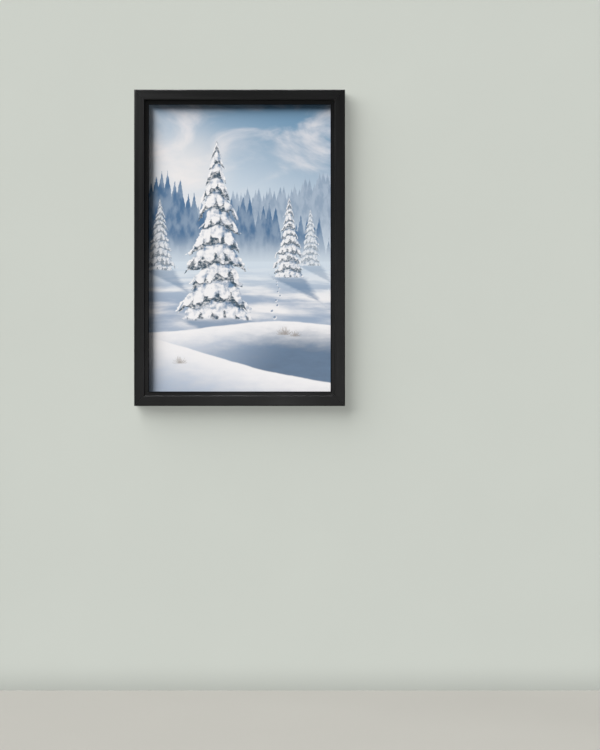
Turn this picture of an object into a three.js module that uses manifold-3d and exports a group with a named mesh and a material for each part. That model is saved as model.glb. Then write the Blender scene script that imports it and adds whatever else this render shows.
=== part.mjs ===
// A canvas print in a black stepped frame, to hang on a wall. In millimetres.
// +X is to the right as the picture is looked at, +Y goes back to the wall and +Z is up.
// The origin is the middle of the hanger's outer face, where it meets the wall.
import * as THREE from "three";
import { mergeVertices } from "three/addons/utils/BufferGeometryUtils.js";
import Module from "manifold-3d";

// Driving dimensions.
const FRAME_WIDTH = 700;
const FRAME_HEIGHT = 1050;
const FRAME_DEPTH = 44;
const FACE_WIDTH = 34; // flat front of a rail
const STEP_WIDTH = 11.5; // lower inner edge, beside the canvas
const STEP_DEPTH = 17; // behind the front of the frame
const SHADOW_GAP = 1.5; // between the step and the edge of the canvas
const LEDGE_REACH = 19.5; // the shelf behind the canvas, in from the step's wall
const LEDGE_THICKNESS = 9;
const WALL_SPACE = 4; // between the wall and the back of the rails
const HANGER_BELOW_TOP = 27;
const CANVAS_THICKNESS = 0.8;
const CANVAS_MARGIN = 32; // turned over onto the back of the bars
const BAR_WIDTH = 40;
const BAR_DEPTH = 17;
const FIT = 0.3; // clearance between pieces that meet

// Worked out from them.
const RIM_WIDTH = FACE_WIDTH + STEP_WIDTH;
const RAIL_WIDTH = RIM_WIDTH + LEDGE_REACH; // the whole back of a rail
const RAIL_BACK = -WALL_SPACE;
const LEDGE_FRONT = RAIL_BACK - LEDGE_THICKNESS;
const ON_BACK = RAIL_BACK + FIT; // where the fittings lie on the rails
const CENTRE_Z = HANGER_BELOW_TOP - FRAME_HEIGHT / 2;
const CANVAS_INSET = RIM_WIDTH + SHADOW_GAP; // from the outside of the frame
const CANVAS_WIDTH = FRAME_WIDTH - 2 * CANVAS_INSET;
const CANVAS_HEIGHT = FRAME_HEIGHT - 2 * CANVAS_INSET;
const BAR_INSET = CANVAS_THICKNESS + FIT; // from the canvas's outside to a bar
const CANVAS_BACK = LEDGE_FRONT - FIT;
const BAR_BACK = CANVAS_BACK - BAR_INSET;
const BAR_FRONT = BAR_BACK - BAR_DEPTH;
const CANVAS_FRONT = BAR_FRONT - BAR_INSET;
const BARS_WIDTH = CANVAS_WIDTH - 2 * BAR_INSET;
const BARS_HEIGHT = CANVAS_HEIGHT - 2 * BAR_INSET;
const OPENING_WIDTH = BARS_WIDTH - 2 * BAR_WIDTH; // inside the bars
const OPENING_HEIGHT = BARS_HEIGHT - 2 * BAR_WIDTH;

const wasm = await Module();
wasm.setup();

const picture = new THREE.Group();
picture.name = "framed_canvas_print";
const body = new THREE.Group(); // has its origin at the picture's own middle
body.position.z = CENTRE_Z;
picture.add(body);

const finish = (color, roughness, metalness = 0) =>
  new THREE.MeshStandardMaterial({ color, roughness, metalness });
const BLACK_WOOD = finish(0x2a2a2a, 0.5);
const BARE_PINE = finish(0xcaa977, 0.75);
const KEY_WOOD = finish(0xd9c296, 0.7);
const PRINTED_CANVAS = finish(0xb9c8d6, 0.7);
const STEEL = finish(0xb4b6b8, 0.35, 1);
const RUBBER = finish(0x2b2b2b, 0.85);

// ---- Shapes

// A closed three.js geometry as a solid that can be cut and joined.
function solid(geometry) {
  geometry.deleteAttribute("normal");
  geometry.deleteAttribute("uv");
  const merged = mergeVertices(geometry, 1e-4);
  return new wasm.Manifold(
    new wasm.Mesh({
      numProp: 3,
      vertProperties: new Float32Array(merged.attributes.position.array),
      triVerts: new Uint32Array(merged.index.array),
    }),
  );
}

function node(name, shape, material, parent = body) {
  const { vertProperties, triVerts } = shape.getMesh();
  const geometry = new THREE.BufferGeometry();
  geometry.setAttribute("position", new THREE.BufferAttribute(vertProperties, 3));
  geometry.setIndex(new THREE.BufferAttribute(triVerts, 1));
  geometry.computeVertexNormals();
  const mesh = new THREE.Mesh(geometry, material);
  mesh.name = name;
  parent.add(mesh);
  return mesh;
}

// A block between two corners, given in any order.
function block(one, other) {
  const size = one.map((value, axis) => Math.abs(other[axis] - value));
  const middle = one.map((value, axis) => (value + other[axis]) / 2);
  const geometry = new THREE.BoxGeometry(...size);
  geometry.translate(...middle);
  return solid(geometry);
}

// An outline in X and Z, either way round, as thick as from one Y to another.
function plate(points, y0, y1) {
  const outline = new THREE.Shape(points.map(([x, z]) => new THREE.Vector2(x, -z)));
  const geometry = new THREE.ExtrudeGeometry(outline, { depth: y1 - y0, bevelEnabled: false });
  geometry.rotateX(-Math.PI / 2); // the outline's Y to -Z, its depth to +Y
  geometry.translate(0, y0, 0);
  return solid(geometry);
}

// A round piece about Y, from a profile of radii and heights along Y.
function turned(profile, sides) {
  const points = profile.map(([radius, y]) => new THREE.Vector2(radius, y));
  return solid(new THREE.LatheGeometry(points, sides));
}

function rod(radius, y0, y1, x, z) {
  const profile = [
    [0, y0],
    [radius, y0],
    [radius, y1],
    [0, y1],
  ];
  return turned(profile, 12).translate([x, 0, z]);
}

// A closed outline from [x, y, radius] points, a radius rounding its corner.
function roundedOutline(points) {
  const outline = new THREE.Shape();
  const last = points[points.length - 1];
  outline.moveTo((last[0] + points[0][0]) / 2, (last[1] + points[0][1]) / 2);
  points.forEach(([x, y, radius = 0], i) => {
    const here = new THREE.Vector2(x, y);
    const short = ([towardsX, towardsY]) => {
      const away = new THREE.Vector2(towardsX - x, towardsY - y);
      return away.setLength(radius).add(here);
    };
    const start = short(points[(i + points.length - 1) % points.length]);
    const end = short(points[(i + 1) % points.length]);
    outline.lineTo(start.x, start.y);
    if (radius) outline.quadraticCurveTo(x, y, end.x, end.y);
  });
  outline.closePath();
  return outline;
}

// ---- Sides and corners of the picture

// Each side is drawn as the bottom one, then turned about the picture's middle.
const SIDES = [
  { name: "bottom", quarters: 0, upright: false },
  { name: "right", quarters: -1, upright: true },
  { name: "top", quarters: 2, upright: false },
  { name: "left", quarters: 1, upright: true },
].map((side) => ({
  ...side,
  length: side.upright ? FRAME_HEIGHT : FRAME_WIDTH,
  edge: -(side.upright ? FRAME_WIDTH : FRAME_HEIGHT) / 2, // its outer edge's Z, as drawn
}));

const CORNERS = [
  { name: "bottom_left", sx: -1, sz: -1 },
  { name: "bottom_right", sx: 1, sz: -1 },
  { name: "top_right", sx: 1, sz: 1 },
  { name: "top_left", sx: -1, sz: 1 },
];

function sideGroup(side) {
  const group = new THREE.Group();
  group.rotation.y = (side.quarters * Math.PI) / 2;
  body.add(group);
  return group;
}

// A solid in the picture's own axes, turned to where the side is drawn, and back.
const asDrawn = (shape, side) => shape.rotate([0, -side.quarters * 90, 0]);
const asPlaced = (shape, side) => shape.rotate([0, side.quarters * 90, 0]);

// A section of (inwards, forwards) run along a side and mitred at both ends. It starts
// `inset` in from the frame's outer edge, reaches `deep` inwards, and has its back at `back`.
function mitred(section, side, inset, deep, back) {
  const length = side.length - 2 * inset;
  const edge = side.edge + inset;
  const run = { depth: length, bevelEnabled: false, curveSegments: 4 };
  const geometry = new THREE.ExtrudeGeometry(section, run);
  const axes = new THREE.Matrix4().makeBasis(
    new THREE.Vector3(0, 0, 1), // inwards
    new THREE.Vector3(0, -1, 0), // forwards
    new THREE.Vector3(1, 0, 0), // along the side
  );
  geometry.applyMatrix4(axes.setPosition(-length / 2, back, edge));
  const end = length / 2 - FIT / Math.SQRT2; // leaves FIT across the mitre
  const past = 1;
  const between = [
    [-end - past, edge - past],
    [end + past, edge - past],
    [end - deep - past, edge + deep + past],
    [-end + deep + past, edge + deep + past],
  ];
  return solid(geometry).intersect(plate(between, back - FRAME_DEPTH - past, back + past));
}

// ---- Screws

const SHANK_RADIUS = 1.5;
const SHANK_LENGTH = 16;
const POINT_LENGTH = 2;
const HEAD_RADIUS = 3.5;
const HEAD_HEIGHT = 1.5;
const RECESS_LENGTH = 3.4; // the cross in the head
const RECESS_WIDTH = 0.9;
const HOLE_RADIUS = SHANK_RADIUS + 0.35;
const HOLE_END = RAIL_BACK - SHANK_LENGTH - POINT_LENGTH - FIT;

// A screw on Y with a low round head, driven forwards until its head meets `seat`.
function screw(seat) {
  const profile = [
    [0, -SHANK_LENGTH - POINT_LENGTH],
    [SHANK_RADIUS, -SHANK_LENGTH],
    [SHANK_RADIUS, 0],
    [HEAD_RADIUS, 0],
    [HEAD_RADIUS, HEAD_HEIGHT * 0.45],
    [HEAD_RADIUS * 0.72, HEAD_HEIGHT * 0.9],
    [0, HEAD_HEIGHT],
  ];
  const recess = (long, wide) =>
    block([-long / 2, HEAD_HEIGHT * 0.35, -wide / 2], [long / 2, HEAD_HEIGHT * 2, wide / 2]);
  return turned(profile, 14)
    .subtract(recess(RECESS_LENGTH, RECESS_WIDTH))
    .subtract(recess(RECESS_WIDTH, RECESS_LENGTH))
    .translate([0, seat, 0]);
}

const screwHole = (x, z, farEnd = HOLE_END) => rod(HOLE_RADIUS, farEnd, RAIL_BACK + 1, x, z);

// Two screws on each side hold the canvas from behind, through the ledge and into its bars.
const SCREW_INWARDS = CANVAS_INSET + 10;
const SCREW_SPREAD = 0.3; // of the side's length, each way from its middle

const screwPlaces = (side) =>
  [-1, 1].map((way) => [way * side.length * SCREW_SPREAD, side.edge + SCREW_INWARDS]);

// ---- V-nails: bent steel strips driven across each mitre from behind

const NAIL_LEG = 6;
const NAIL_LEAN = 0.35; // of its length, how far a leg leans towards the corner
const NAIL_THICKNESS = 0.7;
const NAIL_DEPTH = 7;
const NAIL_SUNK = 0.2;
const NAIL_INWARDS = [16, 44]; // from the frame's outer edges

// The nail, or with a clearance the slot that it lies in.
function vNail({ sx, sz }, inwards, clearance = 0) {
  const half = NAIL_THICKNESS / 2 + clearance;
  const leg = NAIL_LEG + clearance;
  const lean = leg * NAIL_LEAN;
  const outline = [
    [half, half],
    [lean + half, -leg],
    [lean - half, -leg],
    [-half * 1.6, -half * 1.6],
    [-leg, lean - half],
    [-leg, lean + half],
  ].map(([u, v]) => [
    sx * (FRAME_WIDTH / 2 - inwards + u),
    sz * (FRAME_HEIGHT / 2 - inwards + v),
  ]);
  const top = clearance ? RAIL_BACK + 1 : RAIL_BACK - NAIL_SUNK;
  return plate(outline, RAIL_BACK - NAIL_DEPTH - clearance, top);
}

function addVNails() {
  for (const place of CORNERS)
    NAIL_INWARDS.forEach((inwards, i) =>
      node(`v_nail_${place.name}_${i + 1}`, vNail(place, inwards), STEEL),
    );
}

// ---- Frame rails: a tall wall and a lower step round the canvas, with a ledge behind it

const STEP_HEIGHT = FRAME_DEPTH - STEP_DEPTH;
const RAIL_SECTION = roundedOutline([
  [0, 0, 1],
  [RAIL_WIDTH, 0, 0.8],
  [RAIL_WIDTH, LEDGE_THICKNESS, 0.8],
  [RIM_WIDTH, LEDGE_THICKNESS],
  [RIM_WIDTH, STEP_HEIGHT, 0.8],
  [FACE_WIDTH, STEP_HEIGHT],
  [FACE_WIDTH, FRAME_DEPTH, 1.6],
  [0, FRAME_DEPTH, 4.5],
]);

function addRails() {
  for (const side of SIDES) {
    let rail = mitred(RAIL_SECTION, side, 0, RAIL_WIDTH, RAIL_BACK);
    for (const place of CORNERS)
      for (const inwards of NAIL_INWARDS)
        rail = rail.subtract(asDrawn(vNail(place, inwards, FIT), side));
    for (const [x, z] of screwPlaces(side)) rail = rail.subtract(screwHole(x, z, LEDGE_FRONT - 1));
    if (side.name === "top")
      for (const x of HANGER_SCREWS)
        rail = rail.subtract(screwHole(x, side.edge + HANGER_BELOW_TOP));
    node(`rail_${side.name}`, rail, BLACK_WOOD, sideGroup(side));
  }
}

function addCanvasScrews() {
  for (const side of SIDES) {
    const group = sideGroup(side);
    screwPlaces(side).forEach(([x, z], i) => {
      const fixing = node(`screw_${side.name}_${i + 1}`, screw(ON_BACK), STEEL, group);
      fixing.position.set(x, 0, z);
    });
  }
}

// ---- Stretcher bars: a bead at the outside edge keeps the canvas off the rest of a bar

const BEAD_WIDTH = 7;
const BEAD_SLOPE = 8;
const BEAD_HEIGHT = 3;

const BAR_SECTION = roundedOutline([
  [0, 0, 1],
  [BAR_WIDTH, 0, 1],
  [BAR_WIDTH, BAR_DEPTH - BEAD_HEIGHT, 1],
  [BEAD_WIDTH + BEAD_SLOPE, BAR_DEPTH - BEAD_HEIGHT],
  [BEAD_WIDTH, BAR_DEPTH, 2],
  [0, BAR_DEPTH, 2],
]);

function addBars() {
  for (const side of SIDES) {
    let bar = mitred(BAR_SECTION, side, CANVAS_INSET + BAR_INSET, BAR_WIDTH, BAR_BACK);
    for (const place of CORNERS)
      for (const level of [true, false])
        bar = bar.subtract(asDrawn(keySlot(place, level), side));
    for (const [x, z] of screwPlaces(side)) bar = bar.subtract(screwHole(x, z));
    if (side.upright) bar = bar.subtract(asDrawn(tenons(FIT), side));
    node(`bar_${side.name}`, bar, BARE_PINE, sideGroup(side));
  }
}

// ---- Crossbar: tenoned into the side bars, and clear of the canvas

const CROSSBAR_WIDTH = 40;
const CROSSBAR_DEPTH = 12;
const CROSSBAR_MIDDLE = BAR_BACK - CROSSBAR_DEPTH / 2;
const CROSSBAR_ARRIS = 1;
const TENON_LENGTH = 14;
const TENON_WIDTH = 28;
const TENON_DEPTH = 6;

// One strip from end to end makes both tenons, or with a clearance both mortises.
function tenons(clearance = 0) {
  const reach = [
    OPENING_WIDTH / 2 + TENON_LENGTH + clearance,
    TENON_DEPTH / 2 + clearance,
    TENON_WIDTH / 2 + clearance,
  ];
  return block(reach.map((value) => -value), reach).translate([0, CROSSBAR_MIDDLE, 0]);
}

function addCrossbar() {
  const length = OPENING_WIDTH - 2 * FIT;
  const section = roundedOutline([
    [-CROSSBAR_WIDTH / 2, -CROSSBAR_DEPTH / 2, CROSSBAR_ARRIS],
    [CROSSBAR_WIDTH / 2, -CROSSBAR_DEPTH / 2, CROSSBAR_ARRIS],
    [CROSSBAR_WIDTH / 2, CROSSBAR_DEPTH / 2, CROSSBAR_ARRIS],
    [-CROSSBAR_WIDTH / 2, CROSSBAR_DEPTH / 2, CROSSBAR_ARRIS],
  ]);
  const run = { depth: length, bevelEnabled: false, curveSegments: 3 };
  const beam = new THREE.ExtrudeGeometry(section, run);
  beam.rotateY(Math.PI / 2); // the run to +X, the section's X to -Z
  beam.translate(-length / 2, CROSSBAR_MIDDLE, 0);
  node("bar_crossbar", solid(beam).add(tenons()), BARE_PINE);
}

// ---- Keys: thin wooden wedges that spread the corners of the bars and tighten the canvas

const KEY_THICKNESS = 3.6;
const KEY_DRIVEN = 12; // into the bar
const KEY_OUTSIDE = 25;
const KEY_SLOPE = 1 / 3;
const KEY_POINT = 4; // length of the flattened point
const KEY_APART = 0.8; // between the two keys of a corner, one behind the other
const KEYS_Y = BAR_BACK - 8;

// A level key lies along the bottom or top bar, and the other one stands along a side bar.
const keyFront = (level) => (level ? KEYS_Y + KEY_APART / 2 : KEYS_Y - KEY_APART / 2 - KEY_THICKNESS);

// A place by an inside corner of the bars: `along` the key's bar, and `off` it.
function byCorner({ sx, sz }, level, along, off) {
  const [x, z] = level ? [along, off] : [off, along];
  return [sx * (OPENING_WIDTH / 2 - x), sz * (OPENING_HEIGHT / 2 - z)];
}

function addKeys() {
  for (const place of CORNERS)
    for (const level of [true, false]) {
      const outline = [
        [-KEY_DRIVEN, FIT],
        [KEY_OUTSIDE, FIT],
        [KEY_OUTSIDE, FIT + (KEY_DRIVEN + KEY_OUTSIDE) * KEY_SLOPE],
        [KEY_POINT - KEY_DRIVEN, FIT + KEY_POINT * KEY_SLOPE],
      ].map(([along, off]) => byCorner(place, level, along, off));
      const y = keyFront(level);
      const name = `key_${place.name}_${level ? "level" : "upright"}`;
      node(name, plate(outline, y, y + KEY_THICKNESS), KEY_WOOD);
    }
}

// A key's slot, which runs past the inside corner into the other bar.
function keySlot(place, level) {
  const [x0, z0] = byCorner(place, level, 1, 0);
  const [x1, z1] = byCorner(place, level, -KEY_DRIVEN - 1, KEY_DRIVEN * KEY_SLOPE + 4 * FIT);
  const y = keyFront(level);
  return block([x0, y - FIT, z0], [x1, y + KEY_THICKNESS + FIT, z1]);
}

// ---- Canvas: one sheet over the front and edges of the bars, turned onto their backs

function addCanvas() {
  const box = (inset, y0, y1) => {
    const x = CANVAS_WIDTH / 2 - inset;
    const z = CANVAS_HEIGHT / 2 - inset;
    return block([-x, y0, -z], [x, y1, z]);
  };
  const t = CANVAS_THICKNESS;
  let canvas = box(0, CANVAS_FRONT, CANVAS_BACK)
    .subtract(box(t, CANVAS_FRONT + t, CANVAS_BACK - t))
    .subtract(box(CANVAS_MARGIN, BAR_BACK, CANVAS_BACK + 1));
  for (const side of SIDES)
    for (const [x, z] of screwPlaces(side))
      canvas = canvas.subtract(asPlaced(screwHole(x, z, BAR_BACK - 1), side));
  node("canvas", canvas, PRINTED_CANVAS);
}

// ---- Hanger: a raised steel strip with teeth that sit on a nail, and a foot at each end

const HANGER_LENGTH = 74;
const HANGER_HEIGHT = 15;
const HANGER_RAISED = 44; // length of the part that stands off the rail
const HANGER_THICKNESS = 1.2;
const HANGER_SCREWS = [-31, 31];
const TOOTH_PITCH = 4;
const TOOTH_DEPTH = 2.2;
const TEETH = 10;

function addHanger() {
  const half = HANGER_LENGTH / 2;
  const flat = HANGER_RAISED / 2;
  const ramp = flat + 2;
  const under = -HANGER_THICKNESS; // the raised strip's own inner face
  const foot = ON_BACK + HANGER_THICKNESS;
  const lean = HANGER_THICKNESS * 0.45; // keeps the ramps as thick as the rest
  const right = [
    [flat - lean, under],
    [ramp - lean, ON_BACK],
    [half, ON_BACK],
    [half, foot],
    [ramp, foot],
    [flat, 0],
  ];
  const left = right.map(([x, y]) => [-x, y]).reverse();
  const outline = new THREE.Shape([...right, ...left].map(([x, y]) => new THREE.Vector2(x, y)));
  const strip = new THREE.ExtrudeGeometry(outline, { depth: HANGER_HEIGHT, bevelEnabled: false });
  strip.translate(0, 0, -HANGER_HEIGHT / 2);
  let hanger = solid(strip);
  for (let i = 0; i < TEETH; i++) {
    const x = (i - (TEETH - 1) / 2) * TOOTH_PITCH;
    const notch = [
      [x - TOOTH_PITCH * 0.42, -HANGER_HEIGHT / 2 - FIT],
      [x + TOOTH_PITCH * 0.42, -HANGER_HEIGHT / 2 - FIT],
      [x, -HANGER_HEIGHT / 2 + TOOTH_DEPTH],
    ];
    hanger = hanger.subtract(plate(notch, RAIL_BACK, 1));
  }
  for (const x of HANGER_SCREWS) {
    hanger = hanger.subtract(rod(HOLE_RADIUS, RAIL_BACK, 1, x, 0));
    const name = x < 0 ? "hanger_screw_left" : "hanger_screw_right";
    node(name, screw(foot + FIT), STEEL, picture).position.x = x;
  }
  node("hanger", hanger, STEEL, picture);
}

// ---- Rubber pads: they keep the bottom rail off the wall, as the hanger does the top one

const PAD_RADIUS = 7;
const PAD_EDGE = 0.9; // cut off round the pad's outer face
const PAD_FROM_SIDE = 78;
const PAD_FROM_BOTTOM = 31;

function addPads() {
  const profile = [
    [0, ON_BACK],
    [PAD_RADIUS, ON_BACK],
    [PAD_RADIUS, -PAD_EDGE],
    [PAD_RADIUS - PAD_EDGE, 0],
    [0, 0],
  ];
  for (const way of [-1, 1]) {
    const pad = node(way < 0 ? "pad_left" : "pad_right", turned(profile, 24), RUBBER);
    pad.position.x = way * (FRAME_WIDTH / 2 - PAD_FROM_SIDE);
    pad.position.z = PAD_FROM_BOTTOM - FRAME_HEIGHT / 2;
  }
}

addRails();
addVNails();
addCanvasScrews();
addCanvas();
addBars();
addCrossbar();
addKeys();
addHanger();
addPads();

export default picture;
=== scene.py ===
"""A framed canvas print: finishes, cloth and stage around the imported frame. In metres."""

import math
import random

import bmesh
import bpy
from bpy.props import FloatProperty, FloatVectorProperty, PointerProperty
from mathutils import Matrix, Vector


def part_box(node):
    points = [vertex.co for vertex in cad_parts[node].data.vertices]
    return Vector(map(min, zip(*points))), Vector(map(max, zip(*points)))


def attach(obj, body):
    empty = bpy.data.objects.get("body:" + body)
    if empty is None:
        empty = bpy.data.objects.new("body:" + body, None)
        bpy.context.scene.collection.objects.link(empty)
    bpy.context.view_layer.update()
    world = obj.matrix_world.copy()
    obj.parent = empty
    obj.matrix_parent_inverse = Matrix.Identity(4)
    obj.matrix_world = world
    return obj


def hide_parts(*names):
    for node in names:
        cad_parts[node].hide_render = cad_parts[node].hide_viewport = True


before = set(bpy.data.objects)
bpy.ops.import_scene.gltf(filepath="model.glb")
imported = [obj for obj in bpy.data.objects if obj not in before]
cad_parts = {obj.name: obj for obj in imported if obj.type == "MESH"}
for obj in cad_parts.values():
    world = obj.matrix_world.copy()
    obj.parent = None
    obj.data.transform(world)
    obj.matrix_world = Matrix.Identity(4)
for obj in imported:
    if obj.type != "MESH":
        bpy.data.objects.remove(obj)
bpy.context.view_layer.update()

bl_info = {
    "name": "Framed Canvas Print",
    "version": (1, 0, 0),
    "blender": (4, 5, 0),
    "location": "3D View > Sidebar > Picture",
    "description": "Dresses a canvas print in a black stepped frame and sets its stage",
    "category": "Object",
}

MM = 0.001


def colour(code):
    """A hex screen colour as the linear numbers that shaders take."""

    def linear(part):
        value = int(part, 16) / 255
        return value / 12.92 if value <= 0.04045 else ((value + 0.055) / 1.055) ** 2.4

    return tuple(linear(code[i : i + 2]) for i in (0, 2, 4))


# ---- Places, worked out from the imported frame

CANVAS_LOW, CANVAS_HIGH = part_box("canvas")
OUTER_LOW, RAIL_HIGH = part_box("rail_left")
OUTER_HIGH = Vector((-OUTER_LOW.x, RAIL_HIGH.y, RAIL_HIGH.z))
CENTRE = (CANVAS_LOW + CANVAS_HIGH) / 2
HALF_WIDTH = (CANVAS_HIGH.x - CANVAS_LOW.x) / 2
HALF_HEIGHT = (CANVAS_HIGH.z - CANVAS_LOW.z) / 2
WALL_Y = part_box("hanger")[1].y
LEDGE_INNER = RAIL_HIGH.x - CANVAS_LOW.x  # ledge's inner edge, in from the canvas's edge
SIDES = ("bottom", "right", "top", "left")
CORNERS = ("bottom_left", "bottom_right", "top_right", "top_left")


# ---- Settings


def colour_setting(name, code, description):
    """A colour that a user may change, given as a hex screen colour."""
    return FloatVectorProperty(
        name=name,
        description=description,
        subtype="COLOR",
        min=0,
        max=1,
        default=colour(code),
    )


def length_setting(name, default, description):
    """A length in metres that a user may change."""
    return FloatProperty(
        name=name, description=description, default=default, min=0, unit="LENGTH", precision=4
    )


def strength_setting(name, default, description, unit="NONE"):
    """A strength of nought or more that a user may change."""
    return FloatProperty(name=name, description=description, default=default, min=0, unit=unit)


class FrameSettings(bpy.types.PropertyGroup):
    stain: colour_setting("Stain", "101010", "Black stain on the rails")
    thin_stain: colour_setting("Thin stain", "332c29", "Stain where it is thin, on the rails' backs")
    mitre: length_setting("Mitre edge", 0.06 * MM, "Width of the eased edges at the mitres")
    arris: length_setting("Arris", 0.25 * MM, "Width of the eased edges of the bars and keys")
    roughness: FloatProperty(
        name="Roughness", description="Roughness of the satin stain", default=0.36, min=0, max=1
    )
    pine: colour_setting("Pine", "d8b684", "Pale wood of the bars")
    pine_ring: colour_setting("Pine rings", "b98a55", "Darker growth rings of the bars")
    pine_ring_width: length_setting("Pine ring width", 11 * MM, "Width of the bars' growth rings")
    key_wood: colour_setting("Key wood", "dcc7a0", "Hardwood of the corner keys")
    key_ring_width: length_setting("Key ring width", 6 * MM, "Width of the keys' growth rings")


class CanvasSettings(bpy.types.PropertyGroup):
    thickness: length_setting("Thickness", 0.5 * MM, "Thickness of the primed cloth")
    fold: length_setting("Fold", 1.4 * MM, "Radius of the cloth's folds over the bars")
    margin: length_setting("Margin", 32 * MM, "Cloth turned over onto the back")
    weave: length_setting("Weave", 0.9 * MM, "Distance between threads")
    staple_gap: length_setting("Staple gap", 58 * MM, "Distance between staples")
    staple_width: length_setting("Staple width", 11 * MM, "Length of a staple's crown")
    priming: colour_setting("Priming", "e9e6df", "Primed cloth at the margins")
    raw_cloth: colour_setting("Raw cloth", "d3c8b0", "Inner side of the cloth")


class SceneryColours(bpy.types.PropertyGroup):
    sky: colour_setting("Sky", "7298b6", "Sky at the top of the print")
    haze: colour_setting("Haze", "d3dee8", "Haze low in the sky")
    cloud: colour_setting("Cloud", "f3eeee", "Thin cloud")
    woods: colour_setting("Woods", "4b7095", "Woods in the distance")
    snow: colour_setting("Snow", "f2f0f0", "Snow in the light")
    shade: colour_setting("Shade", "6988a9", "Snow in the shade")
    needles: colour_setting("Needles", "364c5c", "Needles under the snow")
    grass: colour_setting("Grass", "7f6f5e", "Dry grass")


class StageSettings(bpy.types.PropertyGroup):
    wall: colour_setting("Wall", "c4c8c0", "Painted wall behind the picture")
    floor: colour_setting("Floor", "c6c4bc", "Pale floor")
    hanging_height: length_setting("Hanging height", 1.48, "Picture's middle above the floor")
    camera_distance: length_setting("Camera distance", 4.0, "Camera to the front of the frame")
    view_height: length_setting("View height", 2.4855, "Height that the camera takes in")
    camera_right: length_setting("Camera right", 0.2004, "Camera to the right of the middle")
    camera_below: length_setting("Camera below", 0.4221, "Camera below the picture's middle")
    key_strength: strength_setting("Key", 10.2, "Soft raking light on the canvas")
    window_power: strength_setting("Window", 14, "Window light high on the left of the rails", "POWER")
    floor_power: strength_setting("Floor glow", 10.5, "Light from low in front of the rails", "POWER")
    overhead_strength: strength_setting("Overhead", 6.12, "Light from above the rails")
    back_power: strength_setting("Back", 60, "Light behind the picture, on its back", "POWER")
    stage_strength: strength_setting("Stage", 4.3, "Light on the wall and the floor")
    room_light: strength_setting("Room light", 0.06, "Light from all round the room")
    room_sheen: strength_setting("Room sheen", 0.4, "Room seen mirrored in the finishes")
    room_seen: strength_setting("Room seen", 0.75, "Room past the wall and the floor")


# ---- Node trees, written as plain arithmetic


class Value:
    """A socket's value. Arithmetic on it adds the nodes that work it out."""

    def __init__(self, pen, socket):
        self.pen = pen
        self.socket = socket

    def __add__(self, other):
        return self.pen.math("ADD", self, other)

    def __sub__(self, other):
        return self.pen.math("SUBTRACT", self, other)

    def __mul__(self, other):
        return self.pen.math("MULTIPLY", self, other)

    def __truediv__(self, other):
        return self.pen.math("DIVIDE", self, other)

    def __pow__(self, other):
        return self.pen.math("POWER", self, other)

    def __rsub__(self, other):
        return self.pen.math("SUBTRACT", other, self)

    def __abs__(self):
        return self.pen.math("ABSOLUTE", self)

    def __neg__(self):
        return self.pen.math("MULTIPLY", self, -1.0)

    __radd__ = __add__
    __rmul__ = __mul__


class Pen:
    """Adds nodes to a tree, each linked to the values that it is given."""

    def __init__(self, tree):
        self.tree = tree

    def add(self, kind, inputs, output=0, **settings):
        """A new node with its inputs fed, and one of its outputs."""
        node = self.tree.nodes.new("ShaderNode" + kind)
        for name, setting in settings.items():
            setattr(node, name, setting)
        for name, value in inputs.items():
            self.feed(node.inputs[name], value)
        return Value(self, node.outputs[output])

    def feed(self, socket, value):
        """Links a value to a socket, or sets the socket to a constant."""
        if isinstance(value, Value):
            self.tree.links.new(value.socket, socket)
        elif socket.type == "RGBA" and len(value) == 3:
            socket.default_value = (*value, 1)
        else:
            socket.default_value = value

    def math(self, operation, *values):
        return self.add("Math", dict(enumerate(values)), operation=operation)

    def vector(self, x, y, z):
        return self.add("CombineXYZ", {"X": x, "Y": y, "Z": z})

    def parts(self, vector):
        """A vector's X, Y and Z."""
        split = self.add("SeparateXYZ", {0: vector})
        return [Value(self, socket) for socket in split.socket.node.outputs]

    def least(self, one, other):
        return self.math("MINIMUM", one, other)

    def most(self, one, other):
        return self.math("MAXIMUM", one, other)

    def smooth(self, value, start, end, low=0.0):
        """Rises smoothly from low to 1 as the value goes from start to end."""
        inputs = {"Value": value, "From Min": start, "From Max": end, "To Min": low}
        return self.add("MapRange", inputs, interpolation_type="SMOOTHSTEP")

    def noise(self, vector, scale, detail, roughness=0.5, distortion=0.0):
        inputs = {
            "Vector": vector,
            "Scale": scale,
            "Detail": detail,
            "Roughness": roughness,
            "Distortion": distortion,
        }
        return self.add("TexNoise", inputs)

    def patches(self, x, y, z=0.0, detail=2.0, roughness=0.5):
        """Noise with patches about one unit wide."""
        return self.noise(self.vector(x, y, z), 1, detail, roughness)

    def chance(self, x, y, z=0.0):
        """A random number from 0 to 1 for each whole place."""
        return self.add("TexWhiteNoise", {"Vector": self.vector(x, y, z)}, noise_dimensions="3D")

    def mix(self, below, above, cover):
        """Paints one colour over another."""
        return self.add("Mix", {0: cover, 6: below, 7: above}, output=2, data_type="RGBA")

    def tint(self, paint, amount):
        """A colour made lighter or darker by a value."""
        return self.add("VectorMath", {0: paint, "Scale": amount}, operation="SCALE")

    def place(self, origin=(0, 0, 0)):
        """X, Y and Z on the object, from an origin."""
        where = self.add("TexCoord", {}, output=3)
        shift = {"Vector": where, "Location": [-value for value in origin]}
        return self.add("Mapping", shift)


def new_material(name, paint, constants=None):
    """A surface whose paint function returns what its shader's sockets take."""
    material = bpy.data.materials.new(name)
    material.use_nodes = True
    tree = material.node_tree
    surface = tree.nodes["Principled BSDF"]
    for socket, value in (constants or {}).items():
        surface.inputs[socket].default_value = value
    pen = Pen(tree)
    for socket, value in paint(pen).items():
        pen.feed(surface.inputs[socket], value)
    return material


def bump(pen, height, depth, strength):
    """Relief of a given depth."""
    return pen.add("Bump", {"Height": height, "Distance": depth, "Strength": strength})


# ---- Wood, steel and rubber


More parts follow.
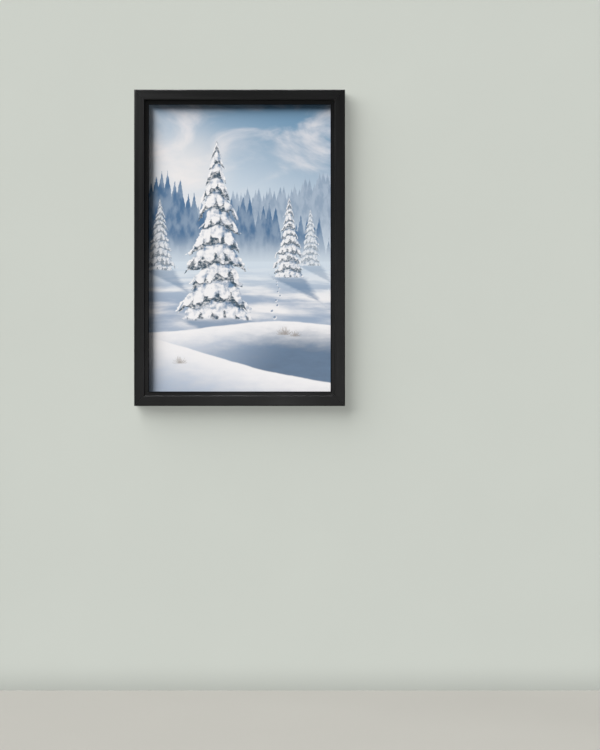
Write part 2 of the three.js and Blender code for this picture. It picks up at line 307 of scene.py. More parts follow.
def grain_place(pen, along, stretch):
    """Place on the wood with its length along the grain shrunk."""
    shrink = [1.0, 1.0, 1.0]
    shrink["xyz".index(along)] = 1 / stretch
    return pen.add("Mapping", {"Vector": pen.place(), "Scale": shrink})


def edge_wear(pen):
    """Where the outer front edges of the frame have been rubbed."""
    x, y, z = pen.parts(pen.place(((OUTER_LOW.x + OUTER_HIGH.x) / 2, 0, CENTRE.z)))
    half_width = (OUTER_HIGH.x - OUTER_LOW.x) / 2
    half_height = (OUTER_HIGH.z - OUTER_LOW.z) / 2
    outwards = pen.most(abs(x) - half_width, abs(z) - half_height)
    outer = pen.smooth(outwards, -2.2 * MM, -0.4 * MM)
    front = pen.smooth(y, OUTER_LOW.y + 3 * MM, OUTER_LOW.y + 1 * MM)
    patchy = pen.smooth(pen.noise(pen.place(), scale=60, detail=3), 0.45, 0.7)
    return outer * front * patchy


def stained_wood(settings, along):
    """Satin black stain over fine straight grain, thinner at the back."""

    def paint(pen):
        grain = grain_place(pen, along, stretch=45)
        fibre = pen.noise(grain, scale=900, detail=3, roughness=0.6)
        figure = pen.noise(grain, scale=120, detail=3, roughness=0.55, distortion=0.4)
        figure = pen.smooth(figure, 0.25, 0.75)
        pores = pen.noise(grain_place(pen, along, stretch=22), scale=1500, detail=1)
        pores = pen.smooth(pores, 0.66, 0.78)
        coats = pen.noise(pen.place(), scale=4.5, detail=2, roughness=0.6) - 0.5
        y = pen.parts(pen.place())[1]
        back = pen.smooth(y, OUTER_HIGH.y - 0.6 * MM, OUTER_HIGH.y)
        thin = back * pen.smooth(figure, 0.35, 0.7, low=0.35)
        stain = pen.mix(tuple(settings.stain), tuple(settings.thin_stain), thin)
        tone = 0.64 + figure * 0.5 + fibre * 0.3 - pores * 0.35 + coats * 1.2
        roughness = settings.roughness - 0.1 + fibre * 0.16 + figure * 0.08 + pores * 0.15
        height = fibre * 0.5 + figure * 0.5 - pores * 0.6
        return {
            "Base Color": pen.tint(stain, tone + edge_wear(pen) * 0.9),
            "Roughness": roughness - coats * 0.3,
            "Normal": bump(pen, height, depth=0.12 * MM, strength=0.7),
        }

    return new_material(f"stained wood, grain along {along}", paint, {"Specular IOR Level": 0.22})


def bare_wood(kind, pale, ring, ring_width, along):
    """Bare planed wood with growth rings and fibres."""

    def paint(pen):
        grain = grain_place(pen, along, stretch=18)
        x, y, z = pen.parts(grain)
        across = {"x": z, "z": x}[along]
        drift = pen.noise(grain, scale=9, detail=2)
        depth = across + y * 1.4 + drift * 0.09
        turn = pen.math("SINE", depth * (2 * math.pi / ring_width))
        late = pen.smooth(turn, 0.1, 1.0)
        fibre = pen.noise(grain, scale=700, detail=3, roughness=0.6)
        blush = pen.noise(pen.place(), scale=11, detail=2)
        tone = pen.mix(tuple(pale), tuple(ring), late * 0.65 + fibre * 0.3 - 0.1)
        return {
            "Base Color": pen.tint(tone, 0.82 + blush * 0.3),
            "Roughness": 0.66 + fibre * 0.2,
            "Normal": bump(pen, fibre + late * 0.4, depth=0.1 * MM, strength=0.6),
        }

    return new_material(f"{kind}, grain along {along}", paint)


def bare_woods(kind, pale, ring, ring_width):
    """A bare wood with its grain level and with its grain upright."""
    return {along: bare_wood(kind, pale, ring, ring_width, along) for along in "xz"}


def zinc_steel():
    """Zinc plated steel with a faint bloom and fine scratches."""

    def paint(pen):
        where = pen.place()
        bloom = pen.noise(where, scale=260, detail=3, roughness=0.6)
        level = pen.add("Mapping", {"Vector": where, "Scale": (1, 1, 14)})
        scratch = pen.noise(level, scale=900, detail=2)
        return {
            "Base Color": pen.mix(colour("b9bcc0"), colour("8f9398"), bloom),
            "Roughness": 0.26 + bloom * 0.2 + scratch * 0.1,
            "Normal": bump(pen, scratch, depth=0.03 * MM, strength=0.5),
        }

    return new_material("zinc plated steel", paint, {"Metallic": 1.0})


def pad_rubber():
    """Dark matte rubber with a fine speckle."""

    def paint(pen):
        speck = pen.noise(pen.place(), scale=1600, detail=2)
        return {
            "Base Color": pen.mix(colour("242424"), colour("363534"), speck),
            "Roughness": 0.66 + speck * 0.2,
            "Normal": bump(pen, speck, depth=0.05 * MM, strength=0.6),
        }

    return new_material("pad rubber", paint)


# ---- The canvas: its weave, and a print of a winter wood, painted from the back to the front


def weave_height(pen, weave):
    """Threads that pass over and under each other, with uneven thickness."""
    x, _, z = pen.parts(pen.place(CENTRE))
    warp = pen.patches(x * 520, z * 6)
    weft = pen.patches(z * 520, x * 6)
    across = abs(pen.math("SINE", (x + warp * 0.1 * weave) * (math.pi / weave)))
    up = abs(pen.math("SINE", (z + weft * 0.1 * weave) * (math.pi / weave)))
    column = pen.math("FLOOR", x / weave)
    row = pen.math("FLOOR", z / weave)
    over = pen.math("PINGPONG", column + row, 1.0)
    crossing = across * up
    lift = pen.mix(pen.vector(across * 0.75, 0, 0), pen.vector(up * 0.75, 0, 0), over)
    return crossing * 0.6 + pen.parts(lift)[0] * 0.4 + warp * 0.25 + weft * 0.25


def fir_group():
    """A snow-laden fir, one unit tall with its foot at nought: its cover, light and needles."""
    tree = bpy.data.node_groups.new("snowy fir", "ShaderNodeTree")
    for name in ("Across", "Up", "Seed", "Soft"):
        tree.interface.new_socket(name, in_out="INPUT", socket_type="NodeSocketFloat")
    for name in ("Cover", "Light", "Needles"):
        tree.interface.new_socket(name, in_out="OUTPUT", socket_type="NodeSocketFloat")
    pen = Pen(tree)
    given = tree.nodes.new("NodeGroupInput")
    across, up, seed, soft = (Value(pen, socket) for socket in given.outputs[:4])
    taper = pen.most(1 - up, 0.001)
    clumps = pen.patches(across * 9, up * 13, seed * 5, detail=3, roughness=0.6) - 0.5
    fringe = pen.patches(across * 55, up * 70, seed * 3, detail=3, roughness=0.65) - 0.5
    leaning = across + (pen.patches(up * 2.5, seed * 7, detail=1) - 0.5) * 0.03
    half = pen.math("POWER", taper, 0.9) * 0.25
    side = leaning / half
    hanging = pen.math("POWER", taper, 0.8) * 11 - pen.math("POWER", abs(side), 1.5) * 0.8
    hanging = hanging + clumps * 1.5
    tier = pen.math("FLOOR", hanging)
    drop = hanging - tier
    turn = pen.math("ARCSINE", pen.least(pen.most(side, -1.0), 1.0))
    bend = pen.patches(turn * 1.3, hanging * 1.2, seed, roughness=0.6) - 0.5
    boughs = turn * (tier * 0.2 + 1.2) + bend * 1.6 + pen.chance(tier, seed) * 3
    bough = pen.math("FLOOR", boughs)
    part = boughs - bough - 0.5
    full = 1 - part * part * 4
    end = full * (pen.chance(bough, tier, seed) * 0.32 + 0.2) + fringe * 0.25 + 0.5
    gap = pen.smooth(drop - end, -0.04, 0.06)
    reach = pen.chance(tier, pen.math("SIGN", leaning), seed) * 0.34 + 0.76
    width = half * reach * (drop * (0.5 - gap * 0.2) + 0.56)
    inside = width - abs(leaning) + (fringe * 0.035 + clumps * 0.02) * pen.most(taper, 0.2)
    foot = pen.smooth(up + fringe * 0.03 + clumps * 0.07, 0.0, 0.02)
    tip = pen.smooth(up, 1.0, 0.985)
    cover = pen.smooth(inside, -soft, soft) * foot * tip
    lumps = [
        pen.patches(across * 20 - move, up * 20 + move, seed, detail=4, roughness=0.6)
        for move in (0.0, 0.22)
    ]
    light = pen.smooth(drop, 0.0, 0.42) * 0.45 + pen.smooth(side, 0.9, -0.8) * 0.3
    light = light + full * 0.22 - part * 0.12 + (lumps[0] - lumps[1]) * 1.9 + clumps * 0.3 - 0.02
    under = pen.most(gap, pen.smooth(drop, 0.2, 0.0)) * pen.smooth(fringe, -0.25, 0.1)
    bare = pen.smooth(fringe + clumps * 0.7, 0.2, 0.34) * 0.7
    result = tree.nodes.new("NodeGroupOutput")
    for socket, value in zip(result.inputs, (cover, light, pen.most(under, bare))):
        pen.feed(socket, value)
    return tree


def treeline(pen, x, spacing, height, seed):
    """How high a far row of firs stands at x: two rows of spires, one behind the other."""
    tallest = None
    for row in (0, 1):
        step = x / spacing + row * 0.5 + seed
        cell = pen.math("FLOOR", step)
        chance = pen.chance(cell, row, seed)
        local = abs(step - cell - 0.5 + (chance - 0.5) * 0.3)
        spire = (chance * 0.6 + 0.4 - local * 1.7) * height
        tallest = spire if tallest is None else pen.most(tallest, spire)
    return tallest


class Scenery:
    """The print's colours so far, and the place on the canvas that they are painted at."""

    def __init__(self, pen, colours):
        self.pen = pen
        self.colours = colours
        self.x, _, self.z = pen.parts(pen.place(CENTRE))
        self.fir_tree = fir_group()
        self.paint = None

    def shade(self, name, amount=1.0):
        """One of the scenery's colours, lighter or darker."""
        return tuple(part * amount for part in getattr(self.colours, name))

    def over(self, colour_above, cover):
        """Paints a colour over all that is there."""
        self.paint = self.pen.mix(self.paint, colour_above, cover)

    def sky(self):
        """Blue above, haze below, thin cloud and a pale glow."""
        pen = self.pen
        high = pen.smooth(self.z + self.x * 0.35, 0.1, 0.52)
        self.paint = pen.mix(self.shade("haze"), self.shade("sky"), high)
        drift = pen.vector(self.x * 3.2, self.z * 6.5, 2.4)
        cloud = pen.noise(drift, scale=1, detail=5, roughness=0.55, distortion=0.5)
        self.over(self.shade("cloud"), pen.smooth(cloud, 0.42, 0.66) * 0.75)
        away = pen.math("SQRT", (self.x + 0.18) ** 2 + (self.z - 0.27) ** 2)
        self.over(colour("f8f1ec"), pen.smooth(away, 0.2, 0.0) * 0.6)

    def woods(self, foot, rise, slope, spacing, height, seed, tone, blur):
        """A hazy wooded slope with spires along its crest, its feet in mist."""
        pen = self.pen
        roll = pen.patches(self.x * 4, seed) - 0.5
        spires = treeline(pen, self.x, spacing, height, seed)
        rough = pen.patches(self.x / spacing * 5, self.z / spacing * 3, seed, detail=3) - 0.5
        level = self.x * slope + foot + rise
        crest = spires + rough * height * 0.3 + roll * rise * 0.9 + level
        cover = pen.smooth(self.z - crest, blur, -blur)
        stand = pen.patches(self.x / spacing * 1.6, self.z / spacing * 0.7, seed, detail=3)
        deep = pen.mix(self.shade("haze"), self.shade("woods"), tone)
        lit = pen.mix(self.shade("haze"), self.shade("woods"), tone * 0.72)
        mist = pen.smooth(self.z, foot - 0.01, foot + rise)
        trees = pen.mix(deep, lit, pen.smooth(stand, 0.35, 0.65))
        self.over(pen.mix(self.shade("haze", 0.97), trees, mist), cover)

    def snowfield(self, horizon):
        """Level snow in long ripples, hazy towards its horizon."""
        pen = self.pen
        near = pen.most(horizon - self.z, 0.004)
        depth = pen.math("LOGARITHM", near, math.e)
        ripple = pen.patches(self.x * 2.2 / (near * 3 + 0.2), depth * 2.6, 2.0, detail=5)
        light = pen.smooth(ripple, 0.38, 0.62)
        ground = pen.mix(self.shade("shade", 1.12), self.shade("snow"), light * 0.75 + 0.25)
        ground = pen.mix(self.shade("haze"), ground, pen.smooth(near, 0.0, 0.14))
        self.over(ground, pen.smooth(self.z - horizon, 0.003, -0.003))

    def fir(self, x, foot, height, seed, soft, haze=0.0):
        """One snow-laden fir, and the shade that it lays on the snow to its right."""
        pen = self.pen
        across = (self.x - x) / height
        up = (self.z - foot) / height
        down = up * -3.2
        rough = pen.patches(across * 14, up * 50, seed, detail=3) - 0.5
        edge = pen.most(1 - down, 0.0) * 0.22 - abs(across - down * 0.4) + rough * 0.09
        cast = pen.smooth(edge, -0.03, 0.07) * pen.smooth(down + rough * 0.1, -0.12, 0.06)
        self.over(self.shade("shade", 0.92), cast * ((1 - haze) * 0.8))
        node = pen.tree.nodes.new("ShaderNodeGroup")
        node.node_tree = self.fir_tree
        for name, value in (("Across", across), ("Up", up), ("Seed", seed), ("Soft", soft)):
            pen.feed(node.inputs[name], value)
        cover, light, needles = (Value(pen, socket) for socket in node.outputs)
        lit = pen.smooth(light, 0.0, 0.9)
        body = pen.mix(self.shade("shade", 0.95), self.shade("snow", 1.05), lit)
        body = pen.mix(body, self.shade("needles"), needles)
        self.over(pen.mix(body, self.shade("haze", 0.9), haze), cover)

    def drift(self, crest, slope, rise, wave, seed, deep, dusk):
        """A bank of snow across the foreground, bright along its crest, in shade to the right."""
        pen = self.pen
        roll = pen.math("SINE", self.x * wave + seed) * rise
        rough = (pen.patches(self.x * 9, seed, detail=3) - 0.5) * rise * 0.6
        below = roll + rough + self.x * slope + crest - self.z
        grain = pen.patches(self.x * 16, self.z * 46, seed, detail=5, roughness=0.55)
        fall = pen.smooth(below + (grain - 0.5) * 0.05, 0.0, deep)
        gloom = pen.smooth(self.x + below + (grain - 0.5) * 0.1, *dusk)
        hollow = pen.mix(self.shade("shade", 1.1), self.shade("shade", 0.66), gloom)
        hollow = pen.tint(hollow, grain * 0.5 + 0.75)
        bank = pen.mix(self.shade("snow", 1.03), hollow, fall * (gloom * 0.3 + 0.65))
        self.over(bank, pen.smooth(below, -0.0015, 0.0035))

    def grass(self, x, foot, size, seed):
        """A tuft of dry stems that fan out of the snow."""
        pen = self.pen
        across = self.x - x
        up = self.z - foot
        away = pen.math("SQRT", across**2 + up**2)
        part = away / size
        angle = pen.math("ARCTAN2", across, pen.most(up, 0.0))
        spread = (angle + part * 0.5 * pen.math("SIGN", across)) * 13 + seed
        spread = spread + (pen.patches(part * 3, seed, detail=1) - 0.5) * 1.5
        stem = pen.math("FLOOR", spread)
        reach = pen.chance(stem, seed) * 0.7 + 0.3
        middle = abs(spread - stem - 0.5) + part * 0.25
        thin = pen.smooth(middle, 0.5, 0.25) * pen.smooth(part, reach, reach * 0.7)
        thicket = pen.smooth(part + abs(angle) * 0.15, 0.5, 0.1) * 0.6
        standing = pen.smooth(up, -0.001, 0.004)
        self.over(self.shade("grass"), pen.most(thin, thicket) * standing * 0.8)

    def tracks(self, horizon, seed):
        """A winding trail of hollows in the snow, smaller with distance."""
        pen = self.pen
        near = pen.most(horizon - self.z, 0.01)
        depth = pen.math("LOGARITHM", near, math.e)
        wind = pen.math("SINE", depth * 2.2 + seed)
        middle = (wind * 0.32 + 0.42) * near + 0.06
        steps = depth * 9
        step = pen.math("FLOOR", steps)
        foot = pen.math("PINGPONG", step, 1.0) - 0.5
        across = (self.x - middle) / near - foot * 0.07 - (pen.chance(step, seed) - 0.5) * 0.03
        along = (steps - step - 0.5) * 0.09
        hollow = pen.math("SQRT", across**2 + (along * 1.2) ** 2)
        rim = pen.math("SQRT", (across - 0.012) ** 2 + (along * 1.2 - 0.012) ** 2)
        fade = pen.smooth(near, 0.03, 0.1)
        self.over(self.shade("snow", 1.04), pen.smooth(rim, 0.036, 0.022) * fade * 0.7)
        self.over(self.shade("shade", 0.82), pen.smooth(hollow, 0.028, 0.014) * fade * 0.8)


def winter_print(pen, colours):
    """The whole scene. Places are metres from the canvas's middle."""
    view = Scenery(pen, colours)
    view.sky()
    view.woods(
        foot=-0.03, rise=0.17, slope=0.16, spacing=0.024, height=0.06, seed=3.3, tone=0.62, blur=0.006
    )
    view.woods(
        foot=-0.05, rise=0.11, slope=-0.3, spacing=0.042, height=0.13, seed=8.1, tone=1.0, blur=0.004
    )
    view.snowfield(horizon=-0.045)
    view.tracks(horizon=-0.03, seed=1.0)
    view.fir(x=0.235, foot=-0.06, height=0.19, seed=4.2, soft=0.012, haze=0.45)
    view.fir(x=-0.265, foot=-0.075, height=0.24, seed=6.7, soft=0.01, haze=0.3)
    view.fir(x=0.165, foot=-0.1, height=0.27, seed=1.4, soft=0.007, haze=0.1)
    view.fir(x=-0.075, foot=-0.24, height=0.6, seed=2.6, soft=0.0035)
    view.drift(crest=-0.26, slope=0.0, rise=0.018, wave=7.5, seed=0.6, deep=0.1, dusk=(-0.1, 0.28))
    view.grass(x=0.15, foot=-0.29, size=0.04, seed=3.0)
    view.grass(x=0.185, foot=-0.295, size=0.028, seed=7.0)
    view.drift(crest=-0.37, slope=-0.2, rise=0.02, wave=5.2, seed=3.9, deep=0.17, dusk=(0.05, 0.4))
    view.grass(x=-0.2, foot=-0.385, size=0.032, seed=5.0)
    return view.paint


def printed_canvas(settings, colours):
    """The canvas's front: matte print over the weave."""

    def paint(pen):
        weave = weave_height(pen, settings.weave)
        return {
            "Base Color": winter_print(pen, colours),
            "Normal": bump(pen, weave, depth=0.12 * MM, strength=0.35),
        }

    return new_material("printed canvas", paint, {"Roughness": 0.72, "Specular IOR Level": 0.3})


def plain_canvas(name, settings, paint_colour):
    """Canvas in one colour, a little mottled, with painted shade darkening it between its threads."""

    def paint(pen):
        mottle = pen.noise(pen.place(), scale=40, detail=3)
        weave = weave_height(pen, settings.weave)
        return {
            # weave term: painted shade, darker where the weave lies low between the threads
            "Base Color": pen.tint(tuple(paint_colour), mottle * 0.12 + weave * 0.14 + 0.84),
            "Normal": bump(pen, weave, depth=0.2 * MM, strength=0.8),
        }

    return new_material(name, paint, {"Roughness": 0.85})


# ---- Pieces

SHARP_ANGLE = math.radians(35)  # edges past this shade as sharp
EASED_ANGLE = math.radians(40)  # edges past this are eased
FLAT_ANGLE = math.radians(1)  # triangles within this are joined
SAME_PLACE = 0.001 * MM
STEEL_ARRIS = 0.1 * MM
PAD_ARRIS = 0.2 * MM


def finished(name, mesh, materials, replaced=()):
    """An object for a mesh, riding on the part and standing for its CAD nodes."""
    piece = bpy.data.objects.new(name, mesh)
    bpy.context.scene.collection.objects.link(piece)
    for material in materials:
        mesh.materials.append(material)
    mesh.shade_smooth()
    mesh.set_sharp_from_angle(angle=SHARP_ANGLE)
    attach(piece, "root")
    if replaced:
        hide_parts(*replaced)
    return piece


def mesh_of(bm, name):
    """A bmesh written to a new mesh and freed."""
    mesh = bpy.data.meshes.new(name)
    bm.to_mesh(mesh)
    bm.free()
    return mesh


def eased_edges(bm, offset):
    """Rounds every edge of small pieces a little."""
    bmesh.ops.bevel(
        bm,
        geom=bm.edges[:],
        offset=offset,
        affect="EDGES",
        segments=2,
        profile=0.5,
        material=-1,
    )


def even_shading(piece):
    """Keeps the shading of a large flat face true right up to its rounded edges."""
    even = piece.modifiers.new("even shading", "WEIGHTED_NORMAL")
    even.keep_sharp = True


def dressed(node, material, arris):
    """A copy of a CAD node with its triangles joined and its edges eased."""
    bm = bmesh.new()
    bm.from_mesh(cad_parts[node].data)
    bmesh.ops.remove_doubles(bm, verts=bm.verts, dist=SAME_PLACE)
    bmesh.ops.dissolve_limit(bm, angle_limit=FLAT_ANGLE, verts=bm.verts, edges=bm.edges)
    for face in bm.faces:
        face.material_index = 0
    piece = finished(f"{node}_dressed", mesh_of(bm, node), [material], [node])
    eased = piece.modifiers.new("eased edges", "BEVEL")
    eased.width = arris
    eased.segments = 2
    eased.limit_method = "ANGLE"
    eased.angle_limit = EASED_ANGLE
    even_shading(piece)
    return piece


class PICTURE_OT_rails(bpy.types.Operator):
    """Dress the four mitred rails in black stain"""

    bl_idname = "picture.rails"
    bl_label = "Frame rails"

    def execute(self, context):
        settings = context.scene.picture_frame
        level = stained_wood(settings, "x")
        upright = stained_wood(settings, "z")
        for side in SIDES:
            material = level if side in ("bottom", "top") else upright
            dressed(f"rail_{side}", material, settings.mitre)
        return {"FINISHED"}


def canvas_sheet(settings):
    """The cloth's outer side: a tray over the bars with its margins turned in behind."""
    bm = bmesh.new()
    bmesh.ops.create_cube(bm, size=1)
    size = CANVAS_HIGH - CANVAS_LOW
    place = Matrix.Translation(CENTRE) @ Matrix.Diagonal((*size, 1))
    bmesh.ops.transform(bm, matrix=place, verts=bm.verts)
    bmesh.ops.bevel(
        bm,
        geom=bm.edges[:],
        offset=settings.fold,
        affect="EDGES",
        segments=4,
        profile=0.5,
        material=-1,
        clamp_overlap=True,
    )
    back = max(bm.faces, key=lambda face: face.calc_center_median().y)
    inset = settings.margin - settings.fold
    bmesh.ops.inset_region(bm, faces=[back], thickness=inset, use_even_offset=True)
    bmesh.ops.delete(bm, geom=[back], context="FACES")
    bm.normal_update()
    for face in bm.faces:
        behind = face.calc_center_median().y > CANVAS_HIGH.y - 0.1 * MM
        face.material_index = 1 if behind else 0
    return mesh_of(bm, "canvas_sheet")


def corner_fold(settings, right, top):
    """A flap of cloth folded over at a back corner, in the strip that the ledge leaves open."""
    near = LEDGE_INNER + 0.3 * MM
    far = settings.margin
    reach = far + 26 * MM
    slant = 5 * MM
    outline = ((near, near), (far, far), (reach, far), (reach - slant, near))
    corner = CENTRE + Vector((right * HALF_WIDTH, 0, top * HALF_HEIGHT))
    y = CANVAS_HIGH.y + settings.thickness
    bm = bmesh.new()
    flap = bm.faces.new(
        bm.verts.new((corner.x - right * across, y, corner.z - top * up)) for across, up in outline
    )
    grown = bmesh.ops.extrude_face_region(bm, geom=[flap])["geom"]
    raised = [item for item in grown if isinstance(item, bmesh.types.BMVert)]
    bmesh.ops.translate(bm, verts=raised, vec=(0, -settings.thickness * 0.9, 0))
    bmesh.ops.recalc_face_normals(bm, faces=bm.faces[:])
    eased_edges(bm, settings.thickness * 0.3)
    return mesh_of(bm, "corner_fold")


def staple_places(settings):
    """The middle of each staple on the back and the way that its side runs."""
    bare_ends = 120 * MM
    inwards = (LEDGE_INNER + settings.margin) / 2
    for across, length, along in (
        (HALF_WIDTH - inwards, 2 * HALF_HEIGHT, Vector((0, 0, 1))),
        (HALF_HEIGHT - inwards, 2 * HALF_WIDTH, Vector((1, 0, 0))),
    ):
        outwards = Vector((along.z, 0, along.x))
        count = round((length - bare_ends) / settings.staple_gap)
        for way in (-1, 1):
            for i in range(count + 1):
                step = (i - count / 2) * settings.staple_gap
                yield CENTRE + outwards * across * way + along * step, along


def staples_mesh(settings):
    """All the staples, each at its own slant and pressed a little into the cloth."""
    chance = random.Random(7)
    wire_width = 1.1 * MM
    wire_depth = 0.7 * MM
    proud = 0.15 * MM
    wander = 1.2 * MM
    leaning, uneven = 32, 9  # degrees
    bm = bmesh.new()
    for middle, along in staple_places(settings):
        slant = math.radians(leaning + chance.uniform(-uneven, uneven))
        if along.x:
            slant = math.pi / 2 - slant
        shift = Vector((chance.uniform(-1, 1), 0, chance.uniform(-1, 1))) * wander
        place = Vector((middle.x, CANVAS_HIGH.y + proud, middle.z)) + shift
        turn = Matrix.Rotation(slant, 4, "Y")
        size = Matrix.Diagonal((wire_width, wire_depth, settings.staple_width, 1))
        bmesh.ops.create_cube(bm, size=1, matrix=Matrix.Translation(place) @ turn @ size)
    eased_edges(bm, 0.2 * MM)
    return mesh_of(bm, "staples")


class PICTURE_OT_canvas(bpy.types.Operator):
    """Stretch the printed canvas over its bars"""

    bl_idname = "picture.canvas"
    bl_label = "Printed canvas"

    def execute(self, context):
        settings = context.scene.picture_canvas
        colours = context.scene.picture_scenery
        materials = [
            printed_canvas(settings, colours),
            plain_canvas("primed canvas", settings, settings.priming),
            plain_canvas("raw canvas", settings, settings.raw_cloth),
        ]
        mesh = canvas_sheet(settings)
        cloth = finished("canvas_sheet", mesh, materials, ["canvas"])
        wall = cloth.modifiers.new("thickness", "SOLIDIFY")
        wall.thickness = settings.thickness
        wall.offset = -1
        wall.material_offset = 2
        wall.material_offset_rim = 1
        even_shading(cloth)
        for corner in CORNERS:
            right = 1 if "right" in corner else -1
            top = 1 if "top" in corner else -1
            mesh = corner_fold(settings, right, top)
            finished(f"canvas_fold_{corner}", mesh, [materials[1]])
        finished("canvas_staples", staples_mesh(settings), [zinc_steel()])
        return {"FINISHED"}


class PICTURE_OT_bars(bpy.types.Operator):
    """Dress the stretcher bars and their keys in bare wood"""

    bl_idname = "picture.bars"
    bl_label = "Stretcher bars"

    def execute(self, context):
        settings = context.scene.picture_frame
        pine = bare_woods("pine", settings.pine, settings.pine_ring, settings.pine_ring_width)
        hardwood = bare_woods("key wood", settings.key_wood, settings.pine, settings.key_ring_width)
        for side in SIDES:
            along = "x" if side in ("bottom", "top") else "z"
            dressed(f"bar_{side}", pine[along], settings.arris)
        dressed("bar_crossbar", pine["x"], settings.arris)
        for corner in CORNERS:
            dressed(f"key_{corner}_level", hardwood["x"], settings.arris)
            dressed(f"key_{corner}_upright", hardwood["z"], settings.arris)
        return {"FINISHED"}


class PICTURE_OT_hardware(bpy.types.Operator):
    """Dress the hanger, screws and V-nails in zinc plated steel"""

    bl_idname = "picture.hardware"
    bl_label = "Hanger and screws"

    def execute(self, context):
        steel = zinc_steel()
        names = ["hanger", "hanger_screw_left", "hanger_screw_right"]
        names += [f"screw_{side}_{i}" for side in SIDES for i in (1, 2)]
        names += [f"v_nail_{corner}_{i}" for corner in CORNERS for i in (1, 2)]
        for name in names:
            dressed(name, steel, STEEL_ARRIS)
        return {"FINISHED"}


class PICTURE_OT_pads(bpy.types.Operator):
    """Dress the two rubber pads"""

    bl_idname = "picture.pads"
    bl_label = "Rubber pads"

    def execute(self, context):
        rubber = pad_rubber()
        for name in ("pad_left", "pad_right"):
            dressed(name, rubber, PAD_ARRIS)
        return {"FINISHED"}


# ---- Stage


def painted(name, tone):
    """Matte paint, hardly mottled."""

    def paint(pen):
        mottle = pen.noise(pen.place(), scale=3, detail=3)
        return {"Base Color": pen.tint(tuple(tone), mottle * 0.04 + 0.98)}

    return new_material(name, paint, {"Roughness": 0.8})


def backdrop(name, corners, material):
    """A flat sheet of the stage, which isn't part of the picture."""
    bm = bmesh.new()
    bm.faces.new([bm.verts.new(corner) for corner in corners])
    piece = bpy.data.objects.new(name, mesh_of(bm, name))
    piece.data.materials.append(material)
    piece.visible_diffuse = False
    bpy.context.scene.collection.objects.link(piece)
    return piece


def see_through_from_behind(material):
    """Lets the back of the picture be seen from the other side of the wall."""
    tree = material.node_tree
    surface = tree.nodes["Principled BSDF"]
    output = tree.nodes["Material Output"]
    pen = Pen(tree)
    clear = pen.add("BsdfTransparent", {})
    behind = pen.add("NewGeometry", {}, output="Backfacing")
    opened = pen.add("MixShader", {0: behind, 1: Value(pen, surface.outputs[0]), 2: clear})
    tree.links.new(opened.socket, output.inputs["Surface"])


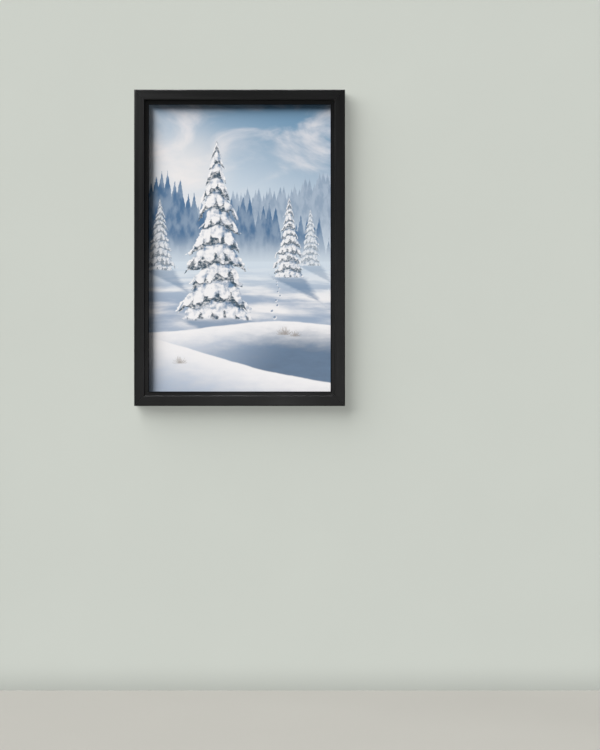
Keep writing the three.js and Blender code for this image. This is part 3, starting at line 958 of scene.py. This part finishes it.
class PICTURE_OT_stage(bpy.types.Operator):
    """Set the wall, the floor, the light and the camera"""

    bl_idname = "picture.stage"
    bl_label = "Stage"

    def execute(self, context):
        settings = context.scene.picture_stage
        scene = context.scene
        middle = (OUTER_LOW + OUTER_HIGH) / 2
        floor_z = middle.z - settings.hanging_height
        reach = 20.0
        gap = 0.3 * MM
        wall_y = WALL_Y + gap
        ceiling_z = floor_z + reach
        upright = [(-reach, floor_z), (reach, floor_z), (reach, ceiling_z), (-reach, ceiling_z)]
        level = [(-reach, -reach), (reach, -reach), (reach, reach), (-reach, reach)]
        wall_paint = painted("wall paint", settings.wall)
        see_through_from_behind(wall_paint)
        floor_paint = painted("floor", settings.floor)
        wall = backdrop("wall", [(x, wall_y, z) for x, z in upright], wall_paint)
        wall.visible_shadow = False
        floor = backdrop("floor", [(x, y, floor_z) for x, y in level], floor_paint)
        self.picture_lights(settings, middle, (wall, floor))
        self.stage_lights(settings, middle, (wall, floor))
        scene.world = self.room(settings)
        scene.view_settings.view_transform = "Standard"
        self.camera(scene, settings, middle)
        return {"FINISHED"}

    def picture_lights(self, settings, middle, backdrops):
        """A raking key on the canvas, softer light round the rails and a light on the back."""
        rails = [bpy.data.objects[f"rail_{side}_dressed"] for side in SIDES]
        on_picture = self.receivers("lit by the picture's lights", backdrops, "EXCLUDE")
        off_rails = self.receivers("lit by the key", (*backdrops, *rails), "EXCLUDE")
        on_rails = self.receivers("lit by the rails' lights", rails, "INCLUDE")
        raking = middle + Vector((-2.75, -1.0, 2.82))
        self.sun("key", settings.key_strength, raking, middle, off_rails, spread=16)
        self.sun("glow", settings.key_strength * 0.12, raking, middle, on_picture, spread=40)
        window = middle + Vector((-0.9, -0.4, 0.9))
        self.softbox("window", settings.window_power, window, middle, on_rails, size=0.5)
        low = middle + Vector((0.06, -2.7, -0.5))
        self.softbox("floor glow", settings.floor_power, low, middle, on_rails, size=1.3)
        above = middle + Vector((-0.3, -0.36, 3.0))
        self.sun("overhead", settings.overhead_strength, above, middle, on_rails, spread=13)
        behind = middle + Vector((0.9, 2.4, 1.3))
        self.softbox("back", settings.back_power, behind, middle, on_picture, size=1.6)

    def stage_lights(self, settings, middle, backdrops):
        """Soft light on the wall and the floor, and a little straight from the front."""
        on_stage = self.receivers("lit by the stage's lights", backdrops, "INCLUDE")
        sky = middle + Vector((-1.8, -1.0, 1.8))
        self.sun("stage light", settings.stage_strength, sky, middle, on_stage, spread=70)
        front = middle + Vector((0, -1.0, 0))
        self.sun("stage fill", settings.stage_strength * 0.35, front, middle, on_stage)

    def room(self, settings):
        """Pale light all round, seen and mirrored more strongly than it lights."""
        world = bpy.data.worlds.new("room")
        world.use_nodes = True
        tree = world.node_tree
        pen = Pen(tree)
        seen = pen.add("LightPath", {}, output="Is Camera Ray") * settings.room_seen
        mirrored = pen.add("LightPath", {}, output="Is Glossy Ray") * settings.room_sheen
        strength = pen.most(pen.most(seen, mirrored), settings.room_light)
        background = tree.nodes["Background"]
        background.inputs["Color"].default_value = (0.95, 0.97, 1.0, 1)
        pen.feed(background.inputs["Strength"], strength)
        return world

    def receivers(self, name, pieces, state):
        """What a light falls on: some pieces alone, or all but them."""
        group = bpy.data.collections.new(name)
        for piece in pieces:
            group.objects.link(piece)
        for member in group.collection_objects:
            member.light_linking.link_state = state
        return group

    def sun(self, name, strength, place, target, receivers, spread=None):
        """Light from far away, its shadows softened by a spread in degrees."""
        light = self.lamp(name, "SUN", strength, place, target, receivers)
        if spread:
            light.angle = math.radians(spread)

    def softbox(self, name, power, place, target, receivers, size):
        """Light from a square surface."""
        self.lamp(name, "AREA", power, place, target, receivers).size = size

    def lamp(self, name, kind, energy, place, target, receivers):
        """A lamp turned to its target, and hidden from the camera."""
        light = bpy.data.lights.new(name, kind)
        light.energy = energy
        lamp = bpy.data.objects.new(name, light)
        lamp.location = place
        lamp.rotation_euler = (target - place).to_track_quat("-Z", "Y").to_euler()
        lamp.light_linking.receiver_collection = receivers
        lamp.visible_camera = False
        bpy.context.scene.collection.objects.link(lamp)
        return light

    def camera(self, scene, settings, middle):
        """Level and square to the wall, low and to the right of the picture."""
        lens = bpy.data.cameras.new("camera")
        lens.lens = lens.sensor_width * settings.camera_distance / settings.view_height
        lens.clip_end = 50
        camera = bpy.data.objects.new("camera", lens)
        camera.location = (
            middle.x + settings.camera_right,
            OUTER_LOW.y - settings.camera_distance,
            middle.z - settings.camera_below,
        )
        camera.rotation_euler = (math.pi / 2, 0, 0)
        scene.collection.objects.link(camera)
        scene.camera = camera


# ---- The add-on


class PICTURE_PT_panel(bpy.types.Panel):
    """Lists the picture's pieces and their settings"""

    bl_idname = "PICTURE_PT_panel"
    bl_label = "Framed canvas print"
    bl_space_type = "VIEW_3D"
    bl_region_type = "UI"
    bl_category = "Picture"

    def draw(self, context):
        for operator in OPERATORS:
            self.layout.operator(operator.bl_idname)
        for group in SETTINGS:
            settings = getattr(context.scene, group)
            for name in settings.__annotations__:
                self.layout.prop(settings, name)


OPERATORS = (
    PICTURE_OT_rails,
    PICTURE_OT_canvas,
    PICTURE_OT_bars,
    PICTURE_OT_hardware,
    PICTURE_OT_pads,
    PICTURE_OT_stage,
)
SETTINGS = {
    "picture_frame": FrameSettings,
    "picture_canvas": CanvasSettings,
    "picture_scenery": SceneryColours,
    "picture_stage": StageSettings,
}


def register():
    for group, kind in SETTINGS.items():
        bpy.utils.register_class(kind)
        setattr(bpy.types.Scene, group, PointerProperty(type=kind))
    for kind in (*OPERATORS, PICTURE_PT_panel):
        bpy.utils.register_class(kind)


def unregister():
    for kind in (PICTURE_PT_panel, *reversed(OPERATORS)):
        bpy.utils.unregister_class(kind)
    for group, kind in SETTINGS.items():
        delattr(bpy.types.Scene, group)
        bpy.utils.unregister_class(kind)


def main():
    """Makes the picture and its stage."""
    register()
    bpy.ops.picture.rails()
    bpy.ops.picture.canvas()
    bpy.ops.picture.bars()
    bpy.ops.picture.hardware()
    bpy.ops.picture.pads()
    bpy.ops.picture.stage()


if __name__ == "__main__":
    main()
